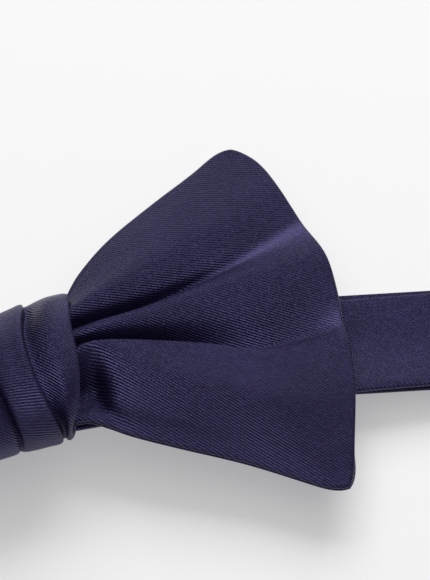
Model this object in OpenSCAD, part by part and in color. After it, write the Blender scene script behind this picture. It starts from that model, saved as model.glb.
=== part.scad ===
// Ready-tied bow tie with an adjustable neck band, laid face up.
// +X runs along the neck band, +Y across it and +Z out of the bow's face. The origin is on the table
// under the knot. The band's upper run carries the bow, folds under at +X and comes back along the table.

/* [Neck band] */
// Width of the neck band
band_w = 20; // [18:0.5:20]
// Thickness of the made-up band
band_t = 1; // [0.9:0.05:1]
// Thickness of the band's cloth
band_cloth_t = 0.25; // [0.15:0.05:0.3]
// Half the length of the doubled band
half_length = 112; // [110:1:114]
// Height of the upper run's middle where the bow rides on it
band_z = 6.8; // [6.8:0.1:7.2]
// Angle between the band's upper and lower runs
band_skew = 7.5; // [7.5:0.5:9]

/* [Bow] */
// Length of the bow over both wings
bow_length = 126; // [118:1:128]
// Height of the bow at the wing tips
bow_height = 72; // [64:1:74]
// Height of the gathered waist
waist_h = 19; // [17:1:19]
// Turn of the bow away from the band
bow_turn = 6.6; // [0:0.1:8]
// Height of the waist's middle over the table
bow_z = 14; // [14:0.1:14.4]
// Thickness of the bow's cloth
bow_cloth_t = 0.45; // [0.3:0.05:0.5]

/* [Knot] */
// Length of the knot along the bow
knot_length = 28; // [25:1:28]
// Width of the knot across the bow
knot_w = 26.8; // [26:0.1:28]
// Rise of the knot's front over the waist's middle
knot_front = 8.4; // [8:0.1:9]

/* [Keeper] */
// Length of the loop that holds the bow on the band
keeper_length = 14; // [10:1:14]
// Thickness of the keeper's cloth
keeper_t = 0.9; // [0.7:0.1:0.9]

/* [Metal fittings] */
// Thickness of the hook, eye and adjuster plates
plate_t = 1; // [0.8:0.1:1]
// Width of the opening in the eye
eye_opening_w = 13; // [11:1:14]
// Width of the hook's tongue
tongue_w = 9; // [7:0.5:10]

/* [Adjustment] */
// Distance of the hook's bar from the lower run's fold
hook_at = 205; // [203:1:206]
// Distance of the adjuster's bar from the lower run's fold
adjuster_at = 165; // [163:1:167]

/* [Hidden] */

twill = "#36324f";
lining = "#c9c6bd";
thread = "#24223c";
steel = "#b9bbc0";

gap = 0.05;            // between cloth and what it covers
slide_gap = 0.2;       // between plies that slide on each other
bar_r = 0.9;           // radius of a plate's strap bar
fold_in = 1.4;         // inner radius of the band's folds, which a strap bar turns in
fold_r = fold_in + band_t / 2;
ply_z = band_t / 2;
fold_z = ply_z + fold_r;
lap_z = ply_z + band_t + slide_gap;
fold_x = half_length - fold_r - band_t / 2;

plate_w = 24.4;        // over a plate's side rails
plate_reach = 13;      // from a plate's bar to its tip
flare = band_w / 2 * sin(band_skew / 2);    // the skewed fold's corner stands out this far
eye_lean = asin((fold_z - plate_t / 2 - gap) / plate_reach);
eye_x = -(half_length + flare - plate_reach * cos(eye_lean));
level_x = 30;          // the upper run is level this far each side of the bow's middle
dip_x = 84;            // from there it comes down to dip_z at dip_x, and climbs again from climb_x to its fold
dip_z = 3.2;
climb_x = 90;
band_shift = 2.2;      // under the bow the upper run lies this far to the far side
drift_x = 58;          // it is back in the middle here, and then drifts sideways towards its fold
drift_right = 3;       // sideways drift of the upper run at its fold
drift_left = 4;        // and at its eye
lower_start = 150;     // where the adjustable part of the lower run starts
loop_start = 12;       // from the hook's bar back to where its fold starts
end_lap = 16;          // from the adjuster's bar forward to where its band end stops

function smooth(t) = let (c = max(0, min(1, t))) c * c * (3 - 2 * c);
function mix(a, b, t) = a + (b - a) * t;
function arc(x, z, r, from, to, n) = [
    for (i = [0:n]) let (a = mix(from, to, i / n)) [x + r * cos(a), z + r * sin(a), 0]
];

// A band along frames of [place, width direction, face direction]; the section is [across, outwards].
// A section's second half runs back along its first, so that four-sided faces close the ends.
module sweep(frames, section) {
    n = len(section);
    last = len(frames) - 1;
    points = [for (f = frames, s = section) f[0] + s[0] * f[1] + s[1] * f[2]];
    sides = [
        for (i = [0:last - 1], j = [0:n - 1])
            let (a = i * n + j, b = i * n + (j + 1) % n)
            for (face = [[a, b, b + n], [a, b + n, a + n]]) face
    ];
    ends = [
        for (j = [0:n / 2 - 2]) let (q = [j, j + 1, n - 2 - j, n - 1 - j], e = last * n)
            for (face = [[q[0], q[3], q[1]], [q[1], q[3], q[2]], [e + q[0], e + q[1], e + q[3]], [e + q[1], e + q[2], e + q[3]]])
                face
    ];
    polyhedron(points, concat(sides, ends), convexity = 10);
}

// Frames along a route of [x, z, share of the skew], with the band's centre line drifting in y.
function skewed(v, share) = let (a = -band_skew * share)
    [v[0] * cos(a) - v[1] * sin(a), v[0] * sin(a) + v[1] * cos(a), v[2]];
function band_y(x) = x > 0
    ? band_shift * (1 - smooth((x - level_x) / (drift_x - level_x))) - drift_right * smooth((x - drift_x) / (fold_x - drift_x))
    : mix(band_shift, -drift_left, smooth((-x - level_x) / (-eye_x - level_x)));
function turned(a, b) = let (t = [b[0] - a[0], b[1] - a[1]], u = t / norm(t)) [-u[1], 0, u[0]];
function band_frames(route) = [
    for (i = [0:len(route) - 1])
        let (
            p = route[i],
            n = turned(route[max(0, i - 1)], route[min(len(route) - 1, i + 1)]),
            y = p[2] > 0 ? -drift_right : band_y(p[0]),
            base = [fold_x, -drift_right, 0]
        )
        [base + skewed([p[0], y, p[1]] - base, p[2]), skewed([0, 1, 0], p[2]), skewed(n, p[2])]
];
function plain_frames(route) = [
    for (i = [0:len(route) - 1])
        [
            [route[i][0], 0, route[i][1]],
            [0, 1, 0],
            turned(route[max(0, i - 1)], route[min(len(route) - 1, i + 1)])
        ]
];

// The band's route: the ply under the eye's bar, round the bar, up to the bow, down to the fold and back.
rise_x = eye_x + 13;
function left_z(x) = mix(lap_z, band_z, 1 - smooth(pow((-level_x - x) / (-level_x - rise_x), 2.2)));
function right_z(x) = x < dip_x
    ? mix(band_z, dip_z, smooth((x - level_x) / (dip_x - level_x)))
    : mix(dip_z, fold_z + fold_r, smooth((x - climb_x) / (fold_x - climb_x)));
function band_route(trim) = concat(
    [[eye_x + end_lap - trim, ply_z, 0], [eye_x + 4, ply_z, 0]],
    arc(eye_x, fold_z, fold_r, 270, 90, 8),
    [for (x = [eye_x + 2:2:eye_x + 8]) [x, mix(fold_z + fold_r, lap_z, smooth((x - eye_x) / 8)), 0]],
    [for (x = [rise_x:8:-level_x]) [x, left_z(x), 0]],
    [[-level_x + 2, band_z, 0], [level_x, band_z, 0]],
    [for (x = [level_x + 6:6:fold_x - 6]) [x, right_z(x), 0]],
    [for (i = [0:8]) let (a = 90 - 22.5 * i) [fold_x + fold_r * cos(a), fold_z + fold_r * sin(a), i / 8]],
    [[fold_x - 5, ply_z, 1], [fold_x - lower_start + trim, ply_z, 1]]
);

// Cloth folded round a lining, with its edges meeting along the middle of the back.
function folded_cloth(w, t, c, slit) = [
    [slit, -t], [w, -t], [w, t], [-w, t], [-w, -t], [-slit, -t],
    [-slit, c - t], [c - w, c - t], [c - w, t - c], [w - c, t - c], [w - c, c - t], [slit, c - t]
];
function flat_strip(w, t) = [[w, -t], [w, t], [-w, t], [-w, -t]];
ply = flat_strip(band_w / 2, band_t / 2);

module neck_band_cover() {
    color(twill) sweep(band_frames(band_route(0)), folded_cloth(band_w / 2, band_t / 2, band_cloth_t, 0.3));
}

module neck_band_interlining() {
    inner_w = band_w / 2 - band_cloth_t - 2 * gap;
    color(lining) sweep(band_frames(band_route(1.5)), flat_strip(inner_w, band_t / 2 - band_cloth_t - gap));
}

// Things on the lower run: x runs from its fold towards the hook.
module on_lower_run() {
    translate([fold_x, -drift_right, 0]) rotate([0, 0, 180 - band_skew]) children();
}

module adjusting_band_lower() {
    from = lower_start + gap;
    color(twill) on_lower_run() translate([from, -band_w / 2, 0])
        cube([hook_at - loop_start - gap - from, band_w, band_t]);
}

module adjusting_band_upper() {
    from = adjuster_at + end_lap + gap;
    color(twill) on_lower_run() translate([from, -band_w / 2, lap_z - band_t / 2])
        cube([hook_at - loop_start - gap - from, band_w, band_t]);
}

module hook_fold() {
    route = concat(
        [[hook_at - loop_start, ply_z, 0], [hook_at - 4, ply_z, 0]],
        arc(hook_at, fold_z, fold_r, -90, 90, 8),
        [for (d = [2:2:8]) [hook_at - d, mix(fold_z + fold_r, lap_z, smooth(d / 8)), 0]],
        [[hook_at - loop_start, lap_z, 0]]
    );
    color(twill) on_lower_run() sweep(plain_frames(route), ply);
}

// The band's end goes round the adjuster's bar and is sewn back onto itself.
adjuster_r = 1.15;
adjuster_z = lap_z + adjuster_r;
module adjuster_band_end() {
    tail_z = lap_z + band_t + gap;
    route = concat(
        [[adjuster_at + end_lap, lap_z, 0], [adjuster_at + 3, lap_z, 0]],
        arc(adjuster_at, adjuster_z, adjuster_r, 270, 90, 8),
        [[adjuster_at + 6.5, adjuster_z + adjuster_r, 0]],
        [for (d = [8:2:12]) [adjuster_at + d, mix(adjuster_z + adjuster_r, tail_z, smooth((d - 6.5) / 5.5)), 0]],
        [[adjuster_at + end_lap - 1, tail_z, 0]]
    );
    color(twill) on_lower_run() sweep(plain_frames(route), ply);
}

// A row of stitches along x, each a short bead of thread on the cloth.
module stitch_row(count, pitch, thread_t) {
    for (i = [0:count - 1])
        translate([(i - (count - 1) / 2) * pitch - pitch * 0.35, 0, 0])
            rotate([0, 90, 0]) cylinder(h = pitch * 0.7, r = thread_t / 2, $fn = 16);
}

module adjuster_stitches() {
    top = lap_z + 1.5 * band_t + gap;
    color(thread) on_lower_run() translate([adjuster_at + 13.6, 0, top + 0.15])
        rotate([0, 0, 90]) stitch_row(9, 2, 0.25);
}

module eye_end_stitches() {
    x = eye_x + 10.5;
    color(thread) translate([x, band_y(x), lap_z + band_t / 2 + 0.15])
        rotate([0, 0, 90]) stitch_row(9, 2, 0.25);
}

// Metal plates, with the strap bar's middle at the origin and the plate towards -X.
module rounded_plate(x0, x1, w, r) {
    for (y = [r - w / 2, w / 2 - r], x = [x0 + r, x1 - r]) translate([x, y]) circle(r, $fn = 32);
    translate([x0 + r, -w / 2]) square([x1 - x0 - 2 * r, w]);
    translate([x0, r - w / 2]) square([x1 - x0, w - 2 * r]);
}

// The plate is cut away round the strap's fold, and a round bar joins its two side rails.
slot_w = band_w + 1.2;
module strap_slot() {
    translate([-3.8, -slot_w / 2]) square([3.8 + 2 * bar_r, slot_w]);
}
module strap_bar() {
    rotate([90, 0, 0]) cylinder(h = slot_w + 1, r = bar_r, center = true, $fn = 32);
}

module eye_plate() {
    color(steel) translate([eye_x, band_y(eye_x), fold_z]) rotate([0, -eye_lean, 0]) {
        linear_extrude(plate_t, center = true) difference() {
            rounded_plate(-plate_reach, bar_r, plate_w, bar_r);
            strap_slot();
            rounded_plate(-plate_reach + 1.6, -5.4, eye_opening_w, 1);
        }
        strap_bar();
    }
}

module hook_plate() {
    bend_r = 1.6;
    lean = asin((fold_z - plate_t / 2 - gap) / (plate_reach + 0.5));
    color(steel) on_lower_run() translate([hook_at, 0, fold_z]) rotate([0, lean, 0]) mirror([1, 0, 0]) {
        linear_extrude(plate_t, center = true) {
            difference() {
                rounded_plate(-6.2, bar_r, plate_w, bar_r);
                strap_slot();
            }
            translate([-plate_reach, -tongue_w / 2]) square([plate_reach - 5, tongue_w]);
        }
        strap_bar();
        translate([-plate_reach, tongue_w / 2, bend_r]) rotate([90, 90, 0])
            rotate_extrude(angle = -180, $fn = 48) translate([bend_r - plate_t / 2, 0]) square([plate_t, tongue_w]);
        translate([-plate_reach, -tongue_w / 2, 2 * bend_r - plate_t / 2]) cube([5, tongue_w, plate_t]);
    }
}

module adjuster_frame() {
    color(steel) on_lower_run() translate([adjuster_at, 0, adjuster_z]) {
        linear_extrude(plate_t, center = true) difference() {
            rounded_plate(-5.6, 5.6, plate_w + 0.6, 2);
            translate([-4, -slot_w / 2]) square([8, slot_w]);
        }
        rotate([90, 0, 0]) cylinder(h = slot_w + 0.4, r = plate_t / 2, center = true, $fn = 24);
    }
}

// The keeper: a flat loop of cloth round the upper run, which slides along it.
keeper_slack = 0.3;    // above and below the band inside the keeper
keeper_side_slack = 0.7;
module band_keeper() {
    inner_w = band_w + 2 * keeper_side_slack;
    inner_t = band_t + 2 * keeper_slack;
    module loop(grow) {
        r = inner_t / 2 + grow;
        for (s = [-1, 1]) translate([0, s * (inner_w - inner_t) / 2]) circle(r, $fn = 32);
        square([2 * r, inner_w - inner_t], center = true);
    }
    color(twill) translate([-keeper_length / 2, band_shift, band_z]) rotate([0, 90, 0])
        linear_extrude(keeper_length) difference() {
            loop(keeper_t);
            loop(0);
        }
}

// A round tack of thread on the keeper, which the knot's back turns on.
knot_back = 5.2;       // depth of the knot behind the waist's middle
tack_r = 1.5;
tack_gap = 0.02;       // between the tack and the knot's back
module keeper_tack() {
    top = bow_z - knot_back - tack_gap;
    bottom = band_z + band_t / 2 + keeper_slack + keeper_t;
    color(thread) translate([0, 0, bottom]) cylinder(h = top - bottom, r = tack_r, $fn = 32);
}

// The bow, in its own frame: x along the wings and y across them. A wing's u runs from waist to tip.
wing_start = 12.5;
waist_share = 0.14;    // share of a wing's columns that lie inside the knot
function wing_half(u) = mix(waist_h / 2, bow_height / 2, pow(u, 0.85));
function end_x(v) = bow_length / 2 - 9 * pow(abs(v), 2.2);
function crease(v, at, width) = exp(-pow((v - at) / width, 2));
function relief(u, v) = -smooth(u * 6) * mix(3.2, 1, u) * (
    crease(v, mix(0.52, 0.36, smooth(u * 2)), 0.14) + crease(v, mix(0.28, -0.2, smooth(u)), 0.14)
);
function wing_mid(u, v) = bow_z - 2.6 * smooth(u) - 1.3 * u * v * v + relief(u, v) * (1 - pow(v, 6)) * 0.6;
function filling(u, v) = mix(2, 0.9, smooth(u * 1.5)) * (1 - pow(v, 4)) * (1 - pow(u, 8));
// s runs from -1 at the left tips over the waist to 1 at the right tips, and v from -1 to 1 across.
columns = 15;
rows = 14;
function bow_s(i) = sign(i) * (1 - pow(1 - abs(i) / columns, 1.5));
function bow_v(j) = sin(90 * (2 * j / rows - 1));
function bow_point(s, v, side, offset) =
    let (
        u = max(0, (abs(s) - waist_share) / (1 - waist_share)),
        x = u > 0 ? sign(s) * mix(wing_start, end_x(v), u) : s / waist_share * wing_start
    )
    [x, v * wing_half(u), wing_mid(u, v) + side * filling(u, v) + offset];
// One layer between two offsets from the filling's top (side 1) or bottom (side -1).
module bow_layer(low, high, trim) {
    n = rows + 1 - 2 * trim;
    wide = 2 * (columns - trim);
    grid = [
        for (i = [trim - columns:columns - trim], j = [trim:rows - trim]) [bow_s(i), bow_v(j)]
    ];
    m = len(grid);
    top = [for (g = grid) bow_point(g[0], g[1], high[0], high[1])];
    bottom = [for (g = grid) bow_point(g[0], g[1], low[0], low[1])];
    faces_top = [
        for (i = [0:wide - 1], j = [0:n - 2]) let (a = i * n + j)
            for (f = [[a, a + 1, a + n + 1], [a, a + n + 1, a + n]]) f
    ];
    faces_bottom = [for (f = faces_top) [f[2] + m, f[1] + m, f[0] + m]];
    rim = concat(
        [for (j = [0:n - 2]) j],
        [for (i = [0:wide - 1]) i * n + n - 1],
        [for (j = [n - 1:-1:1]) wide * n + j],
        [for (i = [wide:-1:1]) i * n]
    );
    k = len(rim);
    walls = [
        for (i = [0:k - 1]) let (a = rim[i], b = rim[(i + 1) % k])
            for (f = [[a, a + m, b + m], [a, b + m, b]]) f
    ];
    rotate([0, 0, bow_turn])
        polyhedron(concat(top, bottom), concat(faces_top, faces_bottom, walls), convexity = 10);
}

module bow_front_cover() {
    color(twill) bow_layer([1, gap], [1, gap + bow_cloth_t], 0);
}

module bow_interlining() {
    color(lining) bow_layer([-1, 0], [1, 0], 1);
}

module bow_back_cover() {
    color(twill) bow_layer([-1, -gap - bow_cloth_t], [-1, -gap], 0);
}

// Loops round the waist: an outline with a flat back and a domed front, swept along the bow.
function loop_outline(half_w, back, front, n) = [
    for (i = [0:n - 1]) let (a = 360 * i / n, c = cos(a), s = sin(a))
        [half_w * sign(c) * pow(abs(c), 0.62), (s < 0 ? back : front) * sign(s) * pow(abs(s), s < 0 ? 0.6 : 0.8)]
];
module waist_loop(length, outer, inner, roll) {
    n = 40;
    stations = [[-1, 0.6], [-0.94, 0.2], [-0.7, 0], [0.7, 0], [0.94, 0.2], [1, 0.6]];
    section = concat(
        [for (s = stations) [s[0] * length / 2, 1, s[1] * roll]],
        [[length / 2 - gap, 0, 0], [gap - length / 2, 0, 0]]
    );
    m = len(section);
    points = [
        for (i = [0:n - 1], s = section)
            let (o = outer[i], q = inner[i], d = o / norm(o), p = s[1] == 1 ? o - d * s[2] : q)
            [s[0], p[0], bow_z + p[1]]
    ];
    faces = [
        for (i = [0:n - 1], j = [0:m - 1])
            let (a = i * m + j, b = i * m + (j + 1) % m, c = ((i + 1) % n) * m + j, d = ((i + 1) % n) * m + (j + 1) % m)
            for (f = [[a, d, b], [a, c, d]]) f
    ];
    rotate([0, 0, bow_turn]) polyhedron(points, faces, convexity = 10);
}

module waist_binding() {
    color(thread) waist_loop(5, loop_outline(waist_h / 2 + 1.3, 3.5, 3.5, 40), loop_outline(waist_h / 2 + 0.5, 2.9, 2.9, 40), 0.2);
}

module knot_padding() {
    color(lining) waist_loop(
        knot_length - 3,
        loop_outline(knot_w / 2 - 1.2, 4.15, knot_front - 1.2, 40),
        loop_outline(waist_h / 2 + 1.5, 3.7, 3.8, 40),
        0.2
    );
}

module knot_wrap() {
    color(twill) waist_loop(
        knot_length,
        loop_outline(knot_w / 2, knot_back, knot_front, 40),
        loop_outline(knot_w / 2 - 1.1, 4.25, knot_front - 1.1, 40),
        0.9
    );
}

stitch_x = 10;         // of each stitch row from the knot's middle
knot_thread_t = 0.22;
module knot_stitches() {
    sunk_z = bow_z - knot_back - knot_thread_t * 0.6;
    color(thread) rotate([0, 0, bow_turn]) for (s = [-1, 1])
        translate([s * stitch_x, 0, sunk_z]) rotate([0, 0, 90]) stitch_row(4, 2, knot_thread_t);
}

bow_front_cover();
bow_interlining();
bow_back_cover();
waist_binding();
knot_padding();
knot_wrap();
knot_stitches();
band_keeper();
keeper_tack();
neck_band_cover();
neck_band_interlining();
eye_end_stitches();
eye_plate();
adjusting_band_lower();
adjusting_band_upper();
hook_fold();
hook_plate();
adjuster_frame();
adjuster_band_end();
adjuster_stitches();
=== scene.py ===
from math import cos, pi, radians, sin

import bmesh
import bpy
from mathutils import Matrix, Vector


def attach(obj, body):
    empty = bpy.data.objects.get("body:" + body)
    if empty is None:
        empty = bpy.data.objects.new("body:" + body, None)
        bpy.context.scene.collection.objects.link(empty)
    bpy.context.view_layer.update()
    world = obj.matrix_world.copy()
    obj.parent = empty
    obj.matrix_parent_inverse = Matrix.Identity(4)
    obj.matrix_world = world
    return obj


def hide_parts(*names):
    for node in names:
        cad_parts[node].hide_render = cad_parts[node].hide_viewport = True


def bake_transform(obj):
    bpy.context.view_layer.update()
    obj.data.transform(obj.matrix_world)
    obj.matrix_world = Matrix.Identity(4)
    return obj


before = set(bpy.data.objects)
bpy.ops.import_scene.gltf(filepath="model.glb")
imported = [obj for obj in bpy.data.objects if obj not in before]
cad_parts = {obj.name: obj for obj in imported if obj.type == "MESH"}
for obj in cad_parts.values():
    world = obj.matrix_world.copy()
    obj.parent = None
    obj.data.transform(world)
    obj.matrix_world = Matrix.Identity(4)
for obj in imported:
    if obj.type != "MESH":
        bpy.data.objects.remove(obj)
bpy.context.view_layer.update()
mm = 0.001  # shapes below are worked out in millimetres and placed in metres

# camera, floor and light

studio = {
    "azimuth": -11.4, "elevation": 60.0, "target": (0.043, 0.019, 0.0), "distance": 0.863, "lens": 300.0,
    "keyAngle": 163.0, "keyHeight": 45.0, "keyDistance": 1.3, "keySize": (1.1, 0.85), "keyPower": 10.6,
    "topAngle": 180.0, "topHeight": 84.0, "topDistance": 1.0, "topSize": (1.4, 1.4), "topPower": 2.8,
    # the table's glow is painted light that lightens the shadows on it
    "skyStrength": 0.07, "floorPaintedGlow": 0.37,
}


def towards(azimuth, elevation):
    a, e = radians(azimuth), radians(elevation)
    return Vector((sin(a) * cos(e), -cos(a) * cos(e), sin(e)))


def aim(obj, eye, target):
    obj.location = eye
    obj.rotation_euler = (Vector(target) - eye).to_track_quat("-Z", "Y").to_euler()
    bpy.context.scene.collection.objects.link(obj)


def colour(code):
    channels = [int(code[i:i + 2], 16) / 255 for i in (1, 3, 5)]
    return [c / 12.92 if c <= 0.04045 else ((c + 0.055) / 1.055) ** 2.4 for c in channels] + [1.0]


def addNode(tree, kind, settings=None, links=None):
    node = tree.nodes.new(kind)
    for name, value in (settings or {}).items():
        if isinstance(name, int) or name in node.inputs:
            node.inputs[name].default_value = value
        else:
            setattr(node, name, value)
    for name, source in (links or {}).items():
        tree.links.new(source, node.inputs[name])
    return node


def emptyMaterial(name):
    material = bpy.data.materials.new(name)
    material.use_nodes = True
    material.node_tree.nodes.clear()
    return material, material.node_tree


def surface(tree, settings, links):
    shader = addNode(tree, "ShaderNodeBsdfPrincipled", settings, links)
    addNode(tree, "ShaderNodeOutputMaterial", None, {"Surface": shader.outputs[0]})


camera = bpy.data.objects.new("camera", bpy.data.cameras.new("camera"))
camera.data.lens = studio["lens"]
aim(camera, Vector(studio["target"]) + towards(studio["azimuth"], studio["elevation"]) * studio["distance"],
    studio["target"])
bpy.context.scene.camera = camera

for name in ("key", "top"):
    softbox = bpy.data.objects.new(name, bpy.data.lights.new(name, "AREA"))
    softbox.data.shape = "RECTANGLE"
    softbox.data.size, softbox.data.size_y = studio[name + "Size"]
    softbox.data.energy = studio[name + "Power"]
    way = towards(studio[name + "Angle"], studio[name + "Height"])
    aim(softbox, Vector(studio["target"]) + way * studio[name + "Distance"], studio["target"])

world = bpy.data.worlds.new("studio")
bpy.context.scene.world = world
world.use_nodes = True
world.node_tree.nodes["Background"].inputs["Color"].default_value = colour("#fcfcfd")
world.node_tree.nodes["Background"].inputs["Strength"].default_value = studio["skyStrength"]
bpy.context.scene.view_settings.view_transform = "Standard"

acrylic, tree = emptyMaterial("white acrylic table")  # painted glow: the table gives off a little light of its own, standing in for light from below, which lightens the shadows on it
grain = addNode(tree, "ShaderNodeTexNoise", {"Scale": 900.0, "Detail": 2.0},
                {"Vector": addNode(tree, "ShaderNodeTexCoord").outputs["Object"]})
surface(tree, {"Base Color": colour("#f4f4f4"), "Roughness": 0.9, "Specular IOR Level": 0.1,
               "Emission Color": colour("#fcfcfc"), "Emission Strength": studio["floorPaintedGlow"]},
        {"Normal": addNode(tree, "ShaderNodeBump", {"Strength": 0.05, "Distance": 0.0001},
                           {"Height": grain.outputs["Fac"]}).outputs[0]})
bm = bmesh.new()
bmesh.ops.create_grid(bm, x_segments=2, y_segments=2, size=3.0)
floorMesh = bpy.data.meshes.new("floor")
bm.to_mesh(floorMesh)
bm.free()
floorMesh.materials.append(acrylic)
floor = bpy.data.objects.new("floor", floorMesh)
bpy.context.scene.collection.objects.link(floor)
print("stage: camera, light and floor")


# materials

twillCloth = {
    "rib": 0.47,        # mm from rib to rib of the twill line
    "float": 0.5,       # mm along a rib from one warp float to the next
    # the darkest colour is painted shade for the grooves between the ribs
    "face": "#262045", "grooveShade": "#05040c", "worn": "#2d274f",
    "height": 0.3,      # mm that a rib stands over the groove beside it
}
bandsPerUnit = 20 / (2 * pi)  # a wave texture draws this many bands in one unit of its vector


def makeTwill(name, look):
    # polyester twill: slanting ribs of shiny warp floats, with painted shade darkening the grooves between them,
    # and a soft lavender bloom
    material, tree = emptyMaterial(name)
    weave = addNode(tree, "ShaderNodeUVMap", {"uv_map": "weave"}).outputs[0]
    ribs = addNode(tree, "ShaderNodeTexWave",
                   {"wave_type": "BANDS", "bands_direction": "Y", "Scale": 1 / (look["rib"] * bandsPerUnit),
                    "Distortion": 0.7, "Detail": 2.0, "Detail Scale": 1.6, "Detail Roughness": 0.6},
                   {"Vector": weave}).outputs["Fac"]
    lengthwise = addNode(tree, "ShaderNodeMapping", {"Scale": (look["rib"] / look["float"] / 2, 1.0, 1.0)},
                         {"Vector": weave}).outputs[0]
    floats = addNode(tree, "ShaderNodeTexNoise", {"Scale": 1.5 / look["rib"], "Detail": 3.0, "Roughness": 0.75},
                     {"Vector": lengthwise}).outputs["Fac"]
    clouds = addNode(tree, "ShaderNodeTexNoise", {"Scale": 0.06, "Detail": 3.0},
                     {"Vector": weave}).outputs["Fac"]
    uneven = addNode(tree, "ShaderNodeMix", {"data_type": "FLOAT", "Factor": 0.58},
                     {2: ribs, 3: floats}).outputs[0]
    fade = addNode(tree, "ShaderNodeAttribute", {"attribute_name": "ribFade"}).outputs["Fac"]
    relief = addNode(tree, "ShaderNodeMix", {"data_type": "FLOAT", 3: 0.5}, {0: fade, 2: uneven}).outputs[0]
    # painted shade: the grooves between the ribs take the darkest colour, the rib tops the face colour
    shadedRibs = addNode(tree, "ShaderNodeMix",
                     {"data_type": "RGBA", 6: colour(look["grooveShade"]), 7: colour(look["face"])},
                     {0: relief}).outputs[2]
    bloom = addNode(tree, "ShaderNodeMapRange",
                    {"From Min": 0.35, "From Max": 0.75, "To Min": 0.0, "To Max": 0.5}, {0: clouds}).outputs[0]
    tint = addNode(tree, "ShaderNodeMix", {"data_type": "RGBA", 7: colour(look["worn"])},
                   {0: bloom, 6: shadedRibs}).outputs[2]
    shine = addNode(tree, "ShaderNodeMapRange", {"To Min": 0.44, "To Max": 0.3}, {0: relief}).outputs[0]
    bump = addNode(tree, "ShaderNodeBump", {"Strength": 1.0, "Distance": look["height"] * mm},
                   {"Height": relief}).outputs[0]
    surface(tree, {"IOR": 1.5, "Specular IOR Level": 1.0, "Specular Tint": colour("#aaa2f6"),
                   "Sheen Weight": 0.03, "Sheen Roughness": 0.4, "Sheen Tint": colour("#cfcaf0")},
            {"Base Color": tint, "Roughness": shine, "Normal": bump})
    return material


def makeCanvas(name, look):
    # bonded cotton canvas: a plain weave of pale, dry threads, with painted shade in the gaps between them
    material, tree = emptyMaterial(name)
    place = addNode(tree, "ShaderNodeTexCoord").outputs["Object"]
    warp, weft = [
        addNode(tree, "ShaderNodeTexWave",
                {"wave_type": "BANDS", "bands_direction": axis, "Distortion": 0.6, "Detail": 1.0,
                 "Scale": 1 / (look["thread"] * mm * bandsPerUnit)}, {"Vector": place}).outputs["Fac"]
        for axis in "XY"
    ]
    weave = addNode(tree, "ShaderNodeMath", {"operation": "MAXIMUM"}, {0: warp, 1: weft}).outputs[0]
    fibres = addNode(tree, "ShaderNodeTexNoise", {"Scale": 1500.0, "Detail": 3.0},
                     {"Vector": place}).outputs["Fac"]
    rough = addNode(tree, "ShaderNodeMix", {"data_type": "FLOAT", "Factor": 0.35},
                    {2: weave, 3: fibres}).outputs[0]
    # painted shade: the gaps between the threads take the darker colour
    tint = addNode(tree, "ShaderNodeMix",
                   {"data_type": "RGBA", 6: colour(look["grooveShade"]), 7: colour(look["face"])},
                   {0: rough}).outputs[2]
    bump = addNode(tree, "ShaderNodeBump", {"Strength": 0.8, "Distance": 0.06 * mm},
                   {"Height": rough}).outputs[0]
    surface(tree, {"Roughness": 0.9, "Sheen Weight": 0.2, "Sheen Roughness": 0.6},
            {"Base Color": tint, "Normal": bump})
    return material


def makeThread(name, look):
    # spun polyester sewing thread: two plies twisted together, with painted shade between them and a low sheen
    material, tree = emptyMaterial(name)
    place = addNode(tree, "ShaderNodeTexCoord").outputs["Object"]
    plies = addNode(tree, "ShaderNodeTexWave",
                    {"wave_type": "BANDS", "bands_direction": "DIAGONAL", "Distortion": 0.5, "Detail": 1.0,
                     "Scale": 1 / (look["twist"] * mm * bandsPerUnit)}, {"Vector": place}).outputs["Fac"]
    fluff = addNode(tree, "ShaderNodeTexNoise", {"Scale": 4000.0, "Detail": 2.0},
                    {"Vector": place}).outputs["Fac"]
    strands = addNode(tree, "ShaderNodeMix", {"data_type": "FLOAT", "Factor": 0.25},
                      {2: plies, 3: fluff}).outputs[0]
    # painted shade: the darker colour lies between the plies
    tint = addNode(tree, "ShaderNodeMix",
                   {"data_type": "RGBA", 6: colour(look["grooveShade"]), 7: colour(look["face"])},
                   {0: strands}).outputs[2]
    bump = addNode(tree, "ShaderNodeBump", {"Strength": 0.8, "Distance": 0.05 * mm},
                   {"Height": strands}).outputs[0]
    surface(tree, {"Roughness": 0.55, "Sheen Weight": 0.15}, {"Base Color": tint, "Normal": bump})
    return material


def makeNickel(name, look):
    # nickel-plated pressed steel: warm grey mirror, dulled by handling and fine polishing lines
    material, tree = emptyMaterial(name)
    place = addNode(tree, "ShaderNodeTexCoord").outputs["Object"]
    drawn = addNode(tree, "ShaderNodeMapping", {"Scale": (1.0, 14.0, 14.0)}, {"Vector": place}).outputs[0]
    lines = addNode(tree, "ShaderNodeTexNoise", {"Scale": 420.0, "Detail": 4.0, "Roughness": 0.7},
                    {"Vector": drawn}).outputs["Fac"]
    handling = addNode(tree, "ShaderNodeTexNoise", {"Scale": 160.0, "Detail": 3.0},
                       {"Vector": place}).outputs["Fac"]
    dull = addNode(tree, "ShaderNodeMix", {"data_type": "FLOAT", "Factor": 0.45},
                   {2: handling, 3: lines}).outputs[0]
    tint = addNode(tree, "ShaderNodeMix",
                   {"data_type": "RGBA", 6: colour(look["bright"]), 7: colour(look["dull"])},
                   {0: dull}).outputs[2]
    gloss = addNode(tree, "ShaderNodeMapRange", {"To Min": 0.16, "To Max": 0.42}, {0: dull}).outputs[0]
    bump = addNode(tree, "ShaderNodeBump", {"Strength": 0.15, "Distance": 0.02 * mm},
                   {"Height": lines}).outputs[0]
    surface(tree, {"Metallic": 1.0}, {"Base Color": tint, "Roughness": gloss, "Normal": bump})
    return material


twill = makeTwill("navy polyester twill", twillCloth)
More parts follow.
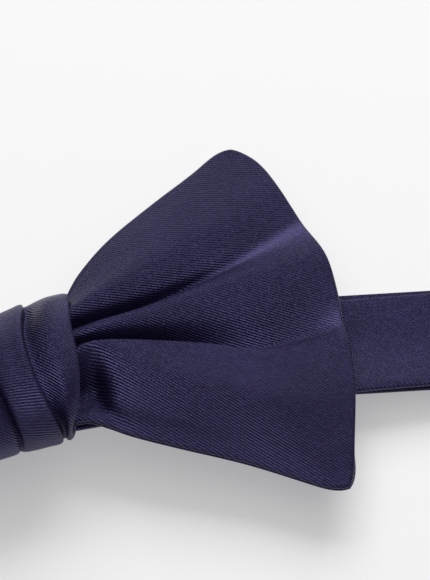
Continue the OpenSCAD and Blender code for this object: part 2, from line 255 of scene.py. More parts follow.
# the darker colour given to the canvas and the thread is painted shade between their threads and plies
canvas = makeCanvas("bonded cotton canvas", {"thread": 0.7, "face": "#d8d3c6", "grooveShade": "#8f897b"})
thread = makeThread("navy sewing thread", {"twist": 0.35, "face": "#3a3658", "grooveShade": "#141127"})
nickel = makeNickel("nickel-plated steel", {"bright": "#c9c5bc", "dull": "#a19d96"})
print("stage: materials")


# shared shape helpers

def smooth(t):
    t = max(0.0, min(1.0, t))
    return t * t * (3 - 2 * t)


def mix(a, b, t):
    return a + (b - a) * t


def along(points, t, ring=False):
    # the smooth curve through evenly counted points, from t = 0 to 1
    spans = len(points) if ring else len(points) - 1
    i = min(int(t * spans), spans - 1)
    s = t * spans - i
    if ring:
        a, b, c, d = (points[(i + k) % spans] for k in (-1, 0, 1, 2))
    else:
        a, b, c, d = (points[max(0, min(spans, i + k))] for k in (-1, 0, 1, 2))
    return 0.5 * (2 * b + (c - a) * s + (2 * a - 5 * b + 4 * c - d) * s ** 2 + (3 * b - a - 3 * c + d) * s ** 3)


def squared(value, power):
    # bends a sine or cosine so that the circle it draws comes nearer to a rectangle
    return abs(value) ** power * (1 if value > 0 else -1)


def runLengths(points):
    # the length from the first point to each point
    lengths = [0.0]
    for a, b in zip(points, points[1:]):
        lengths.append(lengths[-1] + (b - a).length)
    return lengths


def ribFrame(x, y, angle):
    # turns a place on the flat cloth so that u runs along the ribs, which lie at that angle to x
    a = radians(angle)
    return (x * cos(a) + y * sin(a), y * cos(a) - x * sin(a))


def clothGrid(columns, rows, place):
    # a grid whose vertices are put in place by column and row; place returns millimetres
    bm = bmesh.new()
    bmesh.ops.create_grid(bm, x_segments=columns, y_segments=rows, size=1.0)
    spot = {}
    for v in bm.verts:
        spot[v.index] = (round((v.co.x + 1) / 2 * columns), round((v.co.y + 1) / 2 * rows))
        v.co = place(*spot[v.index])
    return bm, spot


def weaveGrid(bm, spot, uvAt):
    # uvAt gives the weave's place for a column and row, as the face with that middle column and row sees it
    layer = bm.loops.layers.uv.new("weave")
    for face in bm.faces:
        at = [spot[loop.vert.index] for loop in face.loops]
        middle = [sum(a[k] for a in at) / len(at) for k in (0, 1)]
        for loop, (column, row) in zip(face.loops, at):
            loop[layer].uv = uvAt(column, row, *middle)


def finished(bm, name, material, turn=0.0, shade=True):
    bm.transform(Matrix.Rotation(turn, 4, "Z") @ Matrix.Scale(mm, 4))
    for face in bm.faces:
        face.smooth = shade
    mesh = bpy.data.meshes.new(name)
    bm.to_mesh(mesh)
    bm.free()
    mesh.materials.append(material)
    piece = bpy.data.objects.new(name, mesh)
    bpy.context.scene.collection.objects.link(piece)
    return piece


def thicken(piece, thickness, offset=-1.0, levels=1):
    cloth = piece.modifiers.new("thickness", "SOLIDIFY")
    cloth.thickness, cloth.offset = thickness * mm, offset
    if levels:
        fine = piece.modifiers.new("smooth", "SUBSURF")
        fine.levels = fine.render_levels = levels


def closeSeam(bm):
    bmesh.ops.remove_doubles(bm, verts=bm.verts, dist=1e-4)


def closeTube(bm):
    closeSeam(bm)
    bmesh.ops.holes_fill(bm, edges=[e for e in bm.edges if e.is_boundary], sides=0)
    bmesh.ops.recalc_face_normals(bm, faces=bm.faces)


# bow: front cover, back cover and the filling between them

bowForm = {
    "turn": radians(6.6),        # away from the band
    "frontRim": 0.6, "backRim": 0.5, "seamDrop": 0.85,
    "cornerReach": 7.0, "cornerPull": 2.5,
    "columnsInSpan": 6, "rowsInSpan": 6, "backRowsInSpan": 14,
    "rimAngles": (24, 46, 68, 90, 118),
    "cloth": 0.4,
    "canvas": 0.3, "canvasRise": 0.55, "canvasGrid": (72, 40), "canvasInset": (0.015, 0.03),
    "fadeRows": 5.0, "fadeMost": 0.8,    # the ribs blur in the two valleys near the wing's end
    "softFade": (0.68, 0.15), "deepFade": (0.82, 0.1),
    "ribsRight": {"lower": -48, "middle": -32, "upper": -16},
    "ribsLeft": {"lower": -20, "middle": -34, "upper": -46},
}

# lines along the right wing, from the bow's middle to the wing's end, bottom edge first
wingGuides = {
    "bottomEdge": [(0, -8.6, 12.6), (9, -9.6, 12.2), (14, -10, 12), (17, -11.9, 11.9), (21, -15, 11.7),
                   (28, -19.4, 11.2), (38, -25.4, 10.4), (48, -32.6, 9.7), (54.1, -37.2, 9.4)],
    "bottomHem": [(0, -7.6, 12.8), (9, -8.6, 12.2), (14, -8.8, 11.9), (17, -10.4, 11.9), (21, -13.2, 12.4),
                  (28, -17.4, 12.1), (38, -23.2, 11.2), (48, -30.2, 10.3), (54.6, -33.0, 9.6)],
    "lowerSlope": [(0, -6.4, 13), (9, -7, 12.2), (14, -7.2, 11.2), (17, -8.4, 11.4), (20, -10, 13.8),
                   (28, -14.4, 13.8), (38, -19.6, 12.6), (48, -26, 11.3), (56, -28.3, 10.2)],
    "lowerCrown": [(0, -4, 13.4), (9, -4.2, 12.6), (14, -4.4, 11.5), (17, -4.8, 11.8), (20.4, -6, 15.2),
                   (28, -8.4, 15.6), (38, -12.4, 14.6), (48, -17.4, 12.9), (59.5, -18.4, 10.9)],
    "rollTop": [(0, -1, 14.2), (9, -1.2, 15.4), (14, -0.6, 16.4), (17, 0.4, 16.8), (21, 0.2, 16.6),
                (28, -1.5, 15.5), (38, -4.6, 13.7), (48, -9.0, 12.5), (61.3, -10.5, 11.0)],
    "rollEdge": [(0, 0.6, 14.0), (9, 0.6, 15.0), (14, 1.6, 15.8), (17, 2.0, 16.1), (21, 1.6, 15.7),
                 (28, 0.1, 14.3), (38, -2.8, 12.7), (48, -6.8, 11.8), (61.7, -7.6, 10.9)],
    "deepValley": [(0, 1, 13.2), (9, 1, 13.6), (14, 2, 13.4), (17, 2.2, 12.6), (21, 1.7, 11.5),
                   (28, 0.3, 10.2), (38, -2.4, 9.6), (48, -5.2, 10.2), (61.9, -5, 10.8)],
    "middleSlope": [(0, 1.9, 14), (9, 2, 15.4), (14, 3, 16.2), (17, 3.2, 16.3), (21, 3.1, 16.1),
                    (28, 2.7, 14.9), (38, 1.7, 13.3), (48, 1.2, 12.6), (62.9, 1.6, 11.2)],
    "ridge": [(0, 2.6, 14.6), (9, 3.4, 16), (14, 4.4, 16.7), (17, 4.9, 16.6), (21, 5.4, 16.4),
              (28, 6, 15.4), (38, 7, 14.5), (48, 8, 13.6), (63.2, 8.6, 11.8)],
    "softValley": [(0, 3.4, 14.2), (9, 4.4, 15.2), (14, 5.7, 15.2), (17, 6.3, 14.2), (21, 6.7, 13.2),
                   (28, 7.3, 12.2), (38, 9.1, 11.8), (48, 11.2, 12), (61.6, 15.4, 11)],
    "upperSlope": [(0, 4.4, 14.8), (9, 5.6, 16.2), (14, 6.4, 16.7), (17, 7.1, 16.5), (21, 7.8, 16),
                   (28, 8.8, 14.9), (38, 11, 13.5), (48, 14, 12.5), (60.9, 19, 10.9)],
    "upperCrown": [(0, 5.6, 14.8), (9, 6.8, 16.3), (14, 7.9, 17.2), (17, 8.8, 17.3), (21, 10.5, 17),
                   (28, 12.8, 15.9), (38, 16.4, 14.3), (48, 19.8, 12.9), (59.9, 24, 11.1)],
    "upperField": [(0, 6.8, 14.5), (9, 8.2, 14.9), (14, 9.8, 15.4), (17, 11.0, 15.5), (21, 13.8, 15.3),
                   (28, 17.8, 14.7), (38, 22.2, 13.6), (48, 26.2, 12.2), (58.6, 29.2, 10.8)],
    "topHem": [(0, 7.8, 14.1), (9, 9, 14.4), (14, 10.5, 14.8), (17, 11.7, 14.9), (21, 15.4, 14.7),
               (28, 20.4, 14), (38, 25.6, 12.8), (48, 30.4, 11.5), (56.5, 33.8, 10.5)],
    "topEdge": [(0, 8.6, 13.6), (9, 9.6, 13.9), (14, 11, 14.3), (17, 12.2, 14.4), (21, 16.4, 14.2),
                (28, 21.7, 13.5), (38, 27.1, 12.4), (48, 32.2, 11.1), (55.3, 37.0, 10.3)],
}
guideNames = list(wingGuides)
backHeights = {  # the back cover's height along the wing, where it isn't at the bow's edge
    "lowerSlope": (10.4, 10.0, 9.8, 9.7, 9.6, 9.3, 8.8, 8.4, 8.1),
    "deepValley": (11.2, 11.0, 10.6, 10.2, 9.6, 8.9, 8.6, 8.7, 8.8),
    "upperCrown": (11.4, 11.2, 11.2, 11.0, 10.8, 10.4, 9.9, 9.4, 8.8),
}


# the left wing is the right one turned over, with its pleats a little higher and shallower
leftWing = {"lift": 1.1, "liftHalf": 38, "shorter": 0.012, "height": 0.985, "wave": 0.15}


def mirrored(point, share):
    x, y, z = point
    lift = leftWing["lift"] * smooth(share * 2) * (1 - (y / leftWing["liftHalf"]) ** 2)
    return (-x * (1 - leftWing["shorter"] * share), y * leftWing["height"] + lift,
            z + leftWing["wave"] * sin(5 * share))


def wholeGuide(points):
    last = len(points) - 1
    left = [Vector(mirrored(points[i], i / last)) for i in range(last, 0, -1)]
    return left + [Vector(p) for p in points]


frontGuides = [wholeGuide(wingGuides[name]) for name in guideNames]


def backGuide(name, heights):
    points = [(x, y, z) for (x, y, _), z in zip(wingGuides[name], heights)]
    return wholeGuide(points)


def loweredEdge(name):
    drop = bowForm["frontRim"] + bowForm["seamDrop"] + bowForm["backRim"]
    return wholeGuide([(x, y, z - drop) for x, y, z in wingGuides[name]])


backGuides = [backGuide(name, heights) for name, heights in backHeights.items()]
backGuides = [loweredEdge("bottomEdge")] + backGuides + [loweredEdge("topEdge")]


def panelSurface(guides):
    # the sheet that the guides carry, its four corners rounded off
    corners = []
    for k, inK in ((0, 1), (-1, -2)):
        for m, inM in ((0, 1), (-1, -2)):
            corner = guides[k][m]
            inward = (guides[k][inM] - corner).normalized() + (guides[inK][m] - corner).normalized()
            corners.append((corner, inward.normalized()))

    def at(u, v):
        point = along([along(g, u) for g in guides], v)
        for corner, inward in corners:
            near = 1 - (point - corner).length / bowForm["cornerReach"]
            if near > 0:
                point = point + inward * bowForm["cornerPull"] * near ** 2
        return point
    return at


def rimmedSurface(at, columns, rows, radius, up):
    # the panel with its edges rolled over: rows and columns past the panel go round the rim
    angles = [radians(a) for a in bowForm["rimAngles"]]
    extra = len(angles)

    def bend(i, count):
        if i < extra:
            return angles[extra - 1 - i], -1, 0.0
        if i > count - extra:
            return angles[i - (count - extra) - 1], 1, 1.0
        return 0.0, 0, (i - extra) / (count - 2 * extra)

    def place(i, j):
        turnU, sideU, u = bend(i, columns)
        turnV, sideV, v = bend(j, rows)
        point = at(u, v)
        if not (sideU or sideV):
            return point
        step = 1e-3
        out = Vector((0, 0, 0))
        if sideV:
            t = at(min(1, u + step), v) - at(max(0, u - step), v)
            out += sin(turnV) * sideV * Vector((-t.y, t.x, 0)).normalized()
        if sideU:
            t = at(u, min(1, v + step)) - at(u, max(0, v - step))
            out += sin(turnU) * sideU * Vector((t.y, -t.x, 0)).normalized()
        least = min(cos(turnU), cos(turnV))
        level = cos(turnU) * cos(turnV) if least >= 0 else least
        out = (out + Vector((0, 0, level))).normalized() - Vector((0, 0, 1))
        return point + radius * Vector((out.x, out.y, out.z * up))

    return place


def makeCover(name, guides, radius, up):
    extra = len(bowForm["rimAngles"])
    columns = (len(guides[0]) - 1) * bowForm["columnsInSpan"] + 2 * extra
    perSpan = bowForm["rowsInSpan" if up > 0 else "backRowsInSpan"]
    rows = (len(guides) - 1) * perSpan + 2 * extra
    place = rimmedSurface(panelSurface(guides), columns, rows, radius, up)
    placed = [[place(i, j) for j in range(rows + 1)] for i in range(columns + 1)]
    bm, spot = clothGrid(columns, rows, lambda i, j: placed[i][j])
    reach = [runLengths(line) for line in placed]
    if up > 0:
        rowOf = {n: extra + perSpan * k for k, n in enumerate(guideNames)}
    else:
        rowOf = {"deepValley": extra, "softValley": rows, "lowerCrown": extra, "ridge": rows // 2,
                 "upperCrown": rows}

    def uvAt(i, j, middleColumn, middleRow):
        panel = "upper"
        if middleRow < rowOf["softValley"]:
            panel = "lower" if middleRow < rowOf["deepValley"] else "middle"
        crown = rowOf[{"lower": "lowerCrown", "middle": "ridge", "upper": "upperCrown"}[panel]]
        angle = bowForm["ribsLeft" if middleColumn < columns / 2 else "ribsRight"][panel]
        home, point = placed[i][crown], placed[i][j]
        flat = Vector((point.x - home.x, point.y - home.y))
        if flat.length > 1e-6:
            flat = flat.normalized() * abs(reach[i][j] - reach[i][crown])
        return ribFrame(home.x + flat.x, home.y + flat.y, angle * (1 if up > 0 else -1))

    weaveGrid(bm, spot, uvAt)
    if up > 0:
        fade = bm.verts.layers.float.new("ribFade")
        for v in bm.verts:
            i, j = spot[v.index]
            share = abs(2 * i / columns - 1)
            most = 0.0
            for row, (start, run) in ((rowOf["softValley"], bowForm["softFade"]),
                                      (rowOf["deepValley"] + 1, bowForm["deepFade"])):
                near = max(1 - abs(j - row) / bowForm["fadeRows"], 0)
                most = max(most, near * smooth((share - start) / run))
            v[fade] = smooth(most) * bowForm["fadeMost"]
    else:
        bmesh.ops.reverse_faces(bm, faces=bm.faces)
    piece = finished(bm, name, twill, bowForm["turn"])
    thicken(piece, bowForm["cloth"])
    return piece


frontCover = makeCover("bow_front", frontGuides, bowForm["frontRim"], 1)
backCover = makeCover("bow_back", backGuides, bowForm["backRim"], -1)


def makeFilling():
    # the canvas between the covers, which follows the back one
    back = panelSurface(backGuides)
    columns, rows = bowForm["canvasGrid"]
    endInset, edgeInset = bowForm["canvasInset"]

    def place(i, j):
        point = back(mix(endInset, 1 - endInset, i / columns), mix(edgeInset, 1 - edgeInset, j / rows))
        return point + Vector((0, 0, bowForm["canvasRise"]))

    bm, _ = clothGrid(columns, rows, place)
    piece = finished(bm, "bow_canvas", canvas, bowForm["turn"])
    thicken(piece, bowForm["canvas"], 0.0, 0)
    return piece


bowCanvas = makeFilling()
print("stage: bow")


# knot: the pleated wrap round the bow's waist; its padding, the waist thread and the closing stitches are made
# further down

knotForm = {
    "halfWidth": 13.5, "front": 8.5, "back": 5.1, "centre": 14.0,
    "around": 96, "rowsInSpan": 3, "cloth": 0.5,
    "ribs": -52, "ribsMiddle": -10, "ribsLeft": -44,
    "shallowest": 0.25,   # how much of its depth a crease keeps on the far side
    "deepestAt": 0.35,    # radians past the front where the creases are deepest
    "flatten": 1.5,       # the far side is this much flatter left of its right-hand fold
    "sink": 0.8,          # and this much lower as a whole
    "stepRoom": 0.42,     # steps between the fold and the right edge stay within this share of the gap
    "endRise": 1.25,      # steps lower than this are the wrap's two ends, which keep their depth
    "foldStep": 18, "creaseStep": 12,    # steps of the section where the ribs change their slant
}
# where each fold lies along the bow, at 8 places round the knot: from its far side over the front, the near
# side and the back
foldLines = {
    "leftEdge": (-15.5, -15.6, -15, -14, -12.5, -12.5, -13, -14.5),
    "leftCrease": (-9.4, -9, -8.4, -8.2, -8.8, -8.5, -8.5, -9),
    "middleCrease": (-2.6, -2.2, -1.0, 0.2, 1.2, 0.4, -0.6, -1.6),
    "fold": (8.9, 8.6, 6.4, 7.2, 8.6, 7.8, 7.6, 8.2),
    "rightEdge": (17.0, 16.6, 14.9, 12.7, 10.5, 11.8, 12.8, 14.4),
}
# the wrap's section from left to right: fold line, distance from it, and rise over the knot's outline
knotSection = [
    ("leftEdge", 3.0, -2.6), ("leftEdge", 1.0, -2.2), ("leftEdge", 0.0, -1.3), ("leftEdge", 0.3, -0.4),
    ("leftEdge", 3.2, 0.25),
    ("leftCrease", -1.6, 0.1), ("leftCrease", -0.3, -0.5), ("leftCrease", 0.1, -0.9), ("leftCrease", 0.8, 0.0),
    ("leftCrease", 2.6, 0.4),
    ("middleCrease", -1.9, 0.2), ("middleCrease", -0.6, -0.2), ("middleCrease", 0.0, -1.2),
    ("middleCrease", 0.8, 0.0), ("middleCrease", 2.8, 0.5),
    ("fold", -2.4, 0.6), ("fold", -0.9, 0.8), ("fold", -0.1, 0.35), ("fold", 0.1, -1.24), ("fold", 1.0, -1.24),
    ("fold", 2.8, -0.2),
    ("rightEdge", -3.4, 0.3), ("rightEdge", -0.3, -0.4), ("rightEdge", 0.0, -1.3), ("rightEdge", -1.0, -2.2),
    ("rightEdge", -3.0, -2.6),
]


def knotOutline(turn, grow=0.0):
    # (across, height) and the outward direction on the knot's outline: turn 0 is the far side, and a quarter
    # turn on is the front
    def at(a):
        c, s = cos(a), sin(a)
        depth, power = (knotForm["front"], 0.86) if s > 0 else (knotForm["back"], 0.6)
        return Vector((squared(c, 0.74) * knotForm["halfWidth"], squared(s, power) * depth))
    point, tangent = at(turn), at(turn + 0.02) - at(turn - 0.02)
    outward = Vector((tangent.y, -tangent.x)).normalized()
    return point, outward


def makeWrap():
    around = knotForm["around"]
    rows = (len(knotSection) - 1) * knotForm["rowsInSpan"]

    def place(i, j):
        share = (i % around) / around
        point, outward = knotOutline(share * 2 * pi + 1e-3)    # a step past the corner, where it has a tangent
        turn = share * 2 * pi
        depth = mix(knotForm["shallowest"], 1.0, smooth(0.15 + 1.3 * sin(turn - knotForm["deepestAt"])))
        far = smooth(1.2 * cos(turn))
        lineAt = {line: along(spots, share, ring=True) for line, spots in foldLines.items()}
        room = knotForm["stepRoom"] * (lineAt["rightEdge"] - lineAt["fold"])
        section = []
        for line, step, rise in knotSection:
            if line in ("fold", "rightEdge") and (line == "fold") == (step > 0):
                step = max(-room, min(room, step))
            x = lineAt[line] + step
            if abs(rise) < knotForm["endRise"]:    # a crease, not one of the two open ends
                rise *= depth
            flat = knotForm["sink"] + knotForm["flatten"] * (1 - smooth((x + 4) / 16))
            rise -= far * flat * smooth((x + 14) / 8)
            section.append(Vector((x, point.x + outward.x * rise,
                                   knotForm["centre"] + point.y + outward.y * rise)))
        return along(section, j / rows)

    placed = [[place(i, j) for j in range(rows + 1)] for i in range(around + 1)]
    bm, spot = clothGrid(around, rows, lambda i, j: placed[i][j])
    middle = rows // 2
    across = [runLengths(line) for line in placed]
    girth = runLengths([line[middle] for line in placed])

    def uvAt(i, j, middleColumn, middleRow):
        step = middleRow / knotForm["rowsInSpan"]
        ribs = "ribsLeft"
        if step > knotForm["creaseStep"]:
            ribs = "ribs" if step > knotForm["foldStep"] else "ribsMiddle"
        return ribFrame(across[i][j] - across[i][middle], -girth[i], knotForm[ribs])

    weaveGrid(bm, spot, uvAt)
    closeSeam(bm)
    piece = finished(bm, "knot_pleats", twill, bowForm["turn"])
    thicken(piece, knotForm["cloth"])
    return piece


knotPleats = makeWrap()
print("stage: knot")


# neck band: the upper run with its fold and eye end, the lower run with the hook's fold, and the adjusting ply

bandForm = {
    "width": 20.0, "thickness": 1.0, "edge": 0.35,
    "plyHeight": 0.5, "foldRadius": 1.9, "foldHeight": 2.4, "lapHeight": 1.7, "foldX": 109.6,
    "runHeight": 6.8, "levelX": 30.0,    # over the middle, under the keeper
    "dipX": 84.0, "dipHeight": 3.2, "dipStop": 90.0,    # right of the bow, before it rises to the fold
    "eyeLap": 8.0, "eyeRise": 13.0, "riseBend": 2.2,    # from the eye's bar up to the keeper
    "shift": 2.2, "driftX": 58.0, "driftRight": 3.0, "driftLeft": 4.0, "skew": 7.5, "ribs": -37,
    "twist": 2.6, "twistX": (45.0, 60.0, 78.0, 104.0), "twistHinge": 3.0, "twistReach": 13.0,
    "hookAt": 205.0, "adjusterAt": 165.0, "barRadius": 1.15, "tailHeight": 2.75, "tailEnd": 180.0,
    "hookLap": 193.0, "plyEnd": 181.0,
}
eyeX = -99.79  # the middle of the eye's bar


def bandY(x):
    f = bandForm
    if x > 0:
        return (f["shift"] * (1 - smooth((x - f["levelX"]) / (f["driftX"] - f["levelX"])))
                - f["driftRight"] * smooth((x - f["driftX"]) / (f["foldX"] - f["driftX"])))
    return mix(f["shift"], -f["driftLeft"], smooth((-x - f["levelX"]) / (-eyeX - f["levelX"])))


def runHeight(x):
    f = bandForm
    level, top = f["levelX"], f["foldHeight"] + f["foldRadius"]
    if x > level:
        if x < f["dipX"]:
            return mix(f["runHeight"], f["dipHeight"], smooth((x - level) / (f["dipX"] - level)))
        return mix(f["dipHeight"], top, smooth((x - f["dipStop"]) / (f["foldX"] - f["dipStop"])))
    if x > -level:
        return f["runHeight"]
    if x < eyeX + f["eyeLap"]:
        return mix(top, f["lapHeight"], smooth((x - eyeX) / f["eyeLap"]))
    share = max(0, min(1, (-level - x) / (-level - eyeX - f["eyeRise"])))
    return mix(f["lapHeight"], f["runHeight"], 1 - smooth(share ** f["riseBend"]))


def skewed(point, share):
    base = Vector((bandForm["foldX"], -bandForm["driftRight"], 0))
    return base + Matrix.Rotation(-radians(bandForm["skew"]) * share, 3, "Z") @ (point - base)


def routeFrames(route):
    # each station's middle, its width direction and its outward direction; a route is a list of (point, share of
    # the skew)
    frames = []
    for k, (point, share) in enumerate(route):
        turned = Matrix.Rotation(-radians(bandForm["skew"]) * share, 3, "Z")
        before, after = route[max(0, k - 1)][0], route[min(len(route) - 1, k + 1)][0]
        run = Vector((after.x - before.x, 0, after.z - before.z)).normalized()
        frames.append((skewed(point, share), turned @ Vector((0, 1, 0)), turned @ Vector((-run.z, 0, run.x))))
    return frames


def bandSection(width, thickness, edge):
    # a flattened tube, as (across, outwards): cloth folded round its lining, the long edges soft and rounded
    half, thick = width / 2, thickness / 2
    top = [(mix(-half + edge, half - edge, k / 12), thick) for k in range(13)]
    rightEdge = [(half - edge + edge * sin(radians(d)), thick * cos(radians(d)))
                 for d in (30, 60, 90, 120, 150)]
    bottom = [(-x, -z) for x, z in top]
    leftEdge = [(-x, -z) for x, z in rightEdge]
    return top + rightEdge + bottom + leftEdge


def makeBand(name, route, width, thickness, material, lift=None):
    frames, section = routeFrames(route), bandSection(width, thickness, bandForm["edge"])
    lengths = runLengths([middle for middle, _, _ in frames])
    around = runLengths([Vector(p) for p in section + section[:1]])

    def place(i, j):
        middle, side, out = frames[i]
        x, z = section[j % len(section)]
        point = middle + side * x + out * z
        return point + lift(point, x) if lift else point

    bm, spot = clothGrid(len(frames) - 1, len(section), place)
    weaveGrid(bm, spot, lambda i, j, *_: ribFrame(lengths[i], around[j] - width / 2, bandForm["ribs"]))
    closeTube(bm)
    return finished(bm, name, material)


def flatPoint(x, height):
    return (Vector((x, bandY(x), height)), 0.0)


def arcPoints(x, height, radius, start, stop, count):
    return [(x + radius * cos(radians(mix(start, stop, k / count))),
             height + radius * sin(radians(mix(start, stop, k / count)))) for k in range(count + 1)]


def upperRoute(trim=0.0):
    f = bandForm
    under = [flatPoint(x, f["plyHeight"]) for x in (eyeX + 16 - trim, eyeX + 10, eyeX + 4)]
    turn = [(Vector((x, bandY(eyeX), z)), 0.0)
            for x, z in arcPoints(eyeX, f["foldHeight"], f["foldRadius"], 270, 90, 10)]
    run = []
    x = eyeX + 1.5
    while x < f["foldX"] - 1:
        run.append(flatPoint(x, runHeight(x)))
        x += 1.5
    fold = [(Vector((x, -f["driftRight"], z)), k / 10)
            for k, (x, z) in enumerate(arcPoints(f["foldX"], f["foldHeight"], f["foldRadius"], 90, -90, 10))]
    return under + turn + run + fold + [(Vector((f["foldX"] - 5, -f["driftRight"], f["plyHeight"])), 1.0)]


def lowerPoint(s, height):
    # a place on the lower run, s millimetres from the band's fold
    return (Vector((bandForm["foldX"] - s, -bandForm["driftRight"], height)), 1.0)


def lowerRoute(start, stop):
    # from the band's fold along the table, round the hook's bar and back on top of itself
    f = bandForm
    run = [lowerPoint(mix(start, f["hookAt"] - 3, k / 60), f["plyHeight"]) for k in range(61)]
    turn = [lowerPoint(f["hookAt"] + x, z)
            for x, z in arcPoints(0, f["foldHeight"], f["foldRadius"], -90, 90, 10)]
    back = [lowerPoint(f["hookAt"] - d, mix(f["foldHeight"] + f["foldRadius"], f["lapHeight"], smooth(d / 8)))
            for d in (1.5, 3, 4.5, 6, 8)]
    return run + turn + back + [lowerPoint(stop, f["lapHeight"])]


def adjusterLoop():
    # the band's end: along the adjusting ply, round the adjuster's bar and back over itself
    f = bandForm
    ply = [lowerPoint(mix(f["tailEnd"] + 1, f["adjusterAt"] + 3, k / 8), f["lapHeight"]) for k in range(9)]
    turn = [lowerPoint(f["adjusterAt"] + x, z)
            for x, z in arcPoints(0, f["lapHeight"] + f["barRadius"], f["barRadius"], 270, 90, 10)]
    top = f["lapHeight"] + 2 * f["barRadius"]
    tail = [lowerPoint(f["adjusterAt"] + d, mix(top, f["tailHeight"], smooth((d - 6.5) / 5.5)))
            for d in (1.5, 3, 4.5, 6.5, 7.5, 8.5, 9.5, 10.5, 12, 13.5)]
    return ply + turn + tail + [lowerPoint(f["tailEnd"], f["tailHeight"])]


def routeLength(route):
    return runLengths([point for point, _ in route])[-1]


def bandPiece(name, route, lift=None):
    piece = makeBand(name, route, bandForm["width"], bandForm["thickness"], twill, lift)
    routeLength(route) * mm
    return piece


def nearEdgeLift(point, across):
    # right of the bow the band's near edge stands a little off the table
    f = bandForm
    start, full, fading, stop = f["twistX"]
    reach = smooth((point.x - start) / (full - start)) * smooth((stop - point.x) / (stop - fading))
    return Vector((0, 0, f["twist"] * reach * smooth((f["twistHinge"] - across) / f["twistReach"])))


bandUpper = bandPiece("band_upper_run", upperRoute(), lift=nearEdgeLift)
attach(bandUpper, "band")
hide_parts("neck_band_cover")

liningRoute = upperRoute(trim=1.5)
liningWidth = bandForm["width"] - 1.4
bandLining = makeBand("band_lining", liningRoute, liningWidth, 0.4, canvas, nearEdgeLift)
routeLength(liningRoute) * mm
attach(bandLining, "band")
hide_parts("neck_band_interlining")



bandLower = bandPiece("band_lower_run", lowerRoute(5, bandForm["hookLap"]))
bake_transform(bandLower)
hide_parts("adjusting_band_lower", "hook_fold")

plyRoute = [lowerPoint(mix(bandForm["hookLap"], bandForm["plyEnd"], k / 12), bandForm["lapHeight"])
            for k in range(13)]
adjustingPly = bandPiece("band_adjusting_ply", plyRoute)
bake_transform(adjustingPly)
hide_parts("adjusting_band_upper")

bandEnd = bandPiece("band_adjuster_end", adjusterLoop())
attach(bandEnd, "adjuster")
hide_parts("adjuster_band_end")
print("stage: neck band")


# keeper: the flat loop of cloth that holds the bow on the band

keeperForm = {
    "half": 7.0, "cloth": 0.45, "low": 5.55, "high": 8.45, "halfWidth": 10.75, "round": 64, "stations": 14,
    "lap": 0.4, "lapReach": 4.0, "girth": 47, "ribs": 50,
}


def makeKeeper():
    f = keeperForm

    def place(i, j):
        a = 2 * pi * (j % f["round"]) / f["round"]
        end = abs(2 * i / f["stations"] - 1)
        c, s = cos(a), sin(a)
        tall = (f["high"] - f["low"]) / 2
        y = squared(c, 0.45) * (f["halfWidth"] - 0.12 * end ** 4)
        z = squared(s, 0.5) * (tall - 0.1 * end ** 4)
        if s < 0:
            z -= f["lap"] * smooth((f["lapReach"] - abs(y)) / 1.2)
        return Vector((mix(-f["half"], f["half"], i / f["stations"]), bandForm["shift"] + y,
                       (f["high"] + f["low"]) / 2 + z))

    bm, spot = clothGrid(f["stations"], f["round"], place)
    weaveGrid(bm, spot, lambda i, j, *_: ribFrame(i * 2 * f["half"] / f["stations"],
                                                  j * f["girth"] / f["round"], f["ribs"]))
    closeSeam(bm)
    bmesh.ops.recalc_face_normals(bm, faces=bm.faces)
    piece = finished(bm, "keeper_loop", twill)
    thicken(piece, f["cloth"])
    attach(piece, "keeper")
    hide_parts("band_keeper")


makeKeeper()
print("stage: keeper")


# thread: the waist's winding, the keeper's tack and the rows of stitches

def threadPiece(name, paths, radius, node, body, turn=0.0):
    # a round strand along each path, its ends closed
    whole = bmesh.new()
    sides = 8
    for path in paths:
        def place(i, j):
            ahead = (path[min(i + 1, len(path) - 1)] - path[max(i - 1, 0)]).normalized()
            side = ahead.cross(Vector((0, 0, 1)) if abs(ahead.z) < 0.9 else Vector((1, 0, 0))).normalized()
            a = 2 * pi * (j % sides) / sides
            return path[i] + radius * (cos(a) * side + sin(a) * side.cross(ahead))

        bm, _ = clothGrid(len(path) - 1, sides, place)
        closeTube(bm)
        strand = bpy.data.meshes.new("strand")
        bm.to_mesh(strand)
        bm.free()
        whole.from_mesh(strand)
        bpy.data.meshes.remove(strand)
    piece = finished(whole, name, thread, turn)
    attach(piece, body)
    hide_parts(node)


def stitch(middle, direction, length, rise):
    # one stitch lying on the cloth, its two ends sinking into it
    return [middle + direction * length * (t - 0.5) + Vector((0, 0, rise * (sin(pi * t) - 0.5)))
            for t in (k / 6 for k in range(7))]


threadForm = {
    "radius": 0.13, "stitch": 1.5, "rise": 0.3, "pitch": 2.0, "overCloth": 0.55,    # the band's two rows
    "eyeSeam": 10.5, "adjusterSeam": 13.6,
    "windings": 9, "windingPitch": 0.5, "windingRadius": 0.22, "waistHalf": (9.75, 2.75), "waistHeight": 12.5,
    "tackRadius": 0.14, "tackTurns": 4.3, "tackSpan": (0.15, 1.36), "tackHeight": 8.64,
    "knotRadius": 0.11, "knotStitch": 1.3, "knotRise": -0.2, "knotRowX": 10, "knotHeight": 8.78,
}


def waistWinding():
    f = threadForm
    half, tall = f["waistHalf"]
    path = []
    for k in range(f["windings"] * 40 + 1):
        a = 2 * pi * k / 40
        path.append(Vector((f["windingPitch"] * (k / 40 - f["windings"] / 2), squared(cos(a), 0.6) * half,
                            f["waistHeight"] + squared(sin(a), 0.6) * tall)))
    return path


def tackSpiral():
    start, stop = threadForm["tackSpan"]
    path = []
    for k in range(121):
        r, a = mix(start, stop, k / 120), 2 * pi * threadForm["tackTurns"] * k / 120
        path.append(Vector((r * cos(a), r * sin(a), threadForm["tackHeight"])))
    return path


def seam(middle, way):
    # nine stitches across the band
    f = threadForm
    return [stitch(middle + way * (k - 4) * f["pitch"], way, f["stitch"], f["rise"]) for k in range(9)]


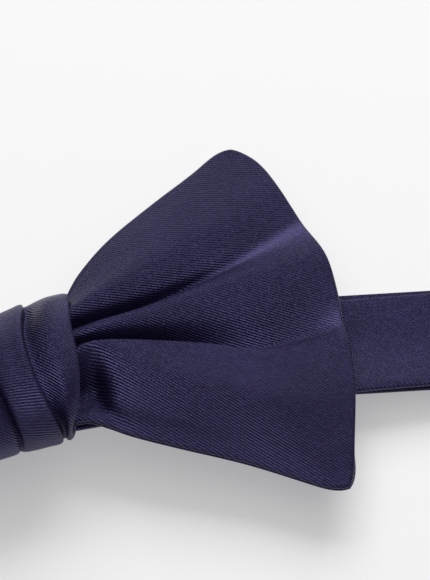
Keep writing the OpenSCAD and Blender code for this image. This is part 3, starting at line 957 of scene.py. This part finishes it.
def knotStitches():
    f = threadForm
    return [stitch(Vector((x, (k - 1.5) * f["pitch"], f["knotHeight"])), Vector((0, 1, 0)), f["knotStitch"],
                   f["knotRise"])
            for x in (-f["knotRowX"], f["knotRowX"]) for k in range(4)]


threadPiece("waist_winding", [waistWinding()], threadForm["windingRadius"], "waist_binding", "bow",
            bowForm["turn"])
threadPiece("keeper_tack_thread", [tackSpiral()], threadForm["tackRadius"], "keeper_tack", "keeper")
threadPiece("knot_closing_stitches", knotStitches(), threadForm["knotRadius"], "knot_stitches", "bow",
            bowForm["turn"])
eyeSeamX = eyeX + threadForm["eyeSeam"]
eyeSeamAt = Vector((eyeSeamX, bandY(eyeSeamX), bandForm["lapHeight"] + threadForm["overCloth"]))
threadPiece("eye_end_seam", seam(eyeSeamAt, Vector((0, 1, 0))), threadForm["radius"], "eye_end_stitches",
            "band")
seamWay = Matrix.Rotation(-radians(bandForm["skew"]), 3, "Z") @ Vector((0, 1, 0))
seamAt = lowerPoint(bandForm["adjusterAt"] + threadForm["adjusterSeam"],
                    bandForm["tailHeight"] + threadForm["overCloth"])[0]
threadPiece("adjuster_seam", seam(skewed(seamAt, 1), seamWay), threadForm["radius"], "adjuster_stitches",
            "adjuster")
print("stage: thread")


# hardware: the hook, the eye and the adjuster, pressed from sheet, with their edges eased

plateForm = {"easing": 0.12, "segments": 2, "sharpAngle": 35, "flatAngle": 2}


def makePlate(node, name, body):
    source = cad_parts[node]
    bm = bmesh.new()
    bm.from_mesh(source.data)
    bm.transform(Matrix.Scale(1 / mm, 4) @ source.matrix_world)
    bmesh.ops.remove_doubles(bm, verts=bm.verts, dist=0.01)
    bmesh.ops.dissolve_limit(bm, angle_limit=radians(plateForm["flatAngle"]), verts=bm.verts, edges=bm.edges)
    least = radians(plateForm["sharpAngle"])
    sharp = [edge for edge in bm.edges if len(edge.link_faces) == 2 and edge.calc_face_angle() > least]
    bmesh.ops.bevel(bm, geom=sharp, offset=plateForm["easing"], offset_type="OFFSET",
                    segments=plateForm["segments"], affect="EDGES", profile=0.5, clamp_overlap=True,
                    material=-1)
    bmesh.ops.triangulate(bm, faces=[face for face in bm.faces if len(face.verts) > 4])
    piece = finished(bm, name, nickel, shade=False)
    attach(piece, body)
    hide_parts(node)


makePlate("eye_plate", "eye", "eye")
makePlate("hook_plate", "hook", "hook")
makePlate("adjuster_frame", "adjuster", "adjuster")
print("stage: hardware")


# wadding under the knot's wrap

paddingForm = {"half": (8.2, 7.4, 1.5), "shift": -1.0, "height": 17.4, "square": 0.8, "creases": 0.1}


def makePadding():
    f = paddingForm
    bm = bmesh.new()
    bmesh.ops.create_uvsphere(bm, u_segments=40, v_segments=20, radius=1.0)
    for v in bm.verts:
        x, y, z = (squared(c, f["square"]) * h for c, h in zip(v.co, f["half"]))
        v.co = (x, y + f["shift"], f["height"] + z * (1 + f["creases"] * sin(1.3 * y) * cos(0.7 * x)))
    piece = finished(bm, "knot_wadding", canvas, bowForm["turn"])
    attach(piece, "bow")
    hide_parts("knot_padding")


makePadding()

for piece, node in ((frontCover, "bow_front_cover"), (backCover, "bow_back_cover"),
                    (bowCanvas, "bow_interlining"), (knotPleats, "knot_wrap")):
    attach(piece, "bow")
    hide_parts(node)
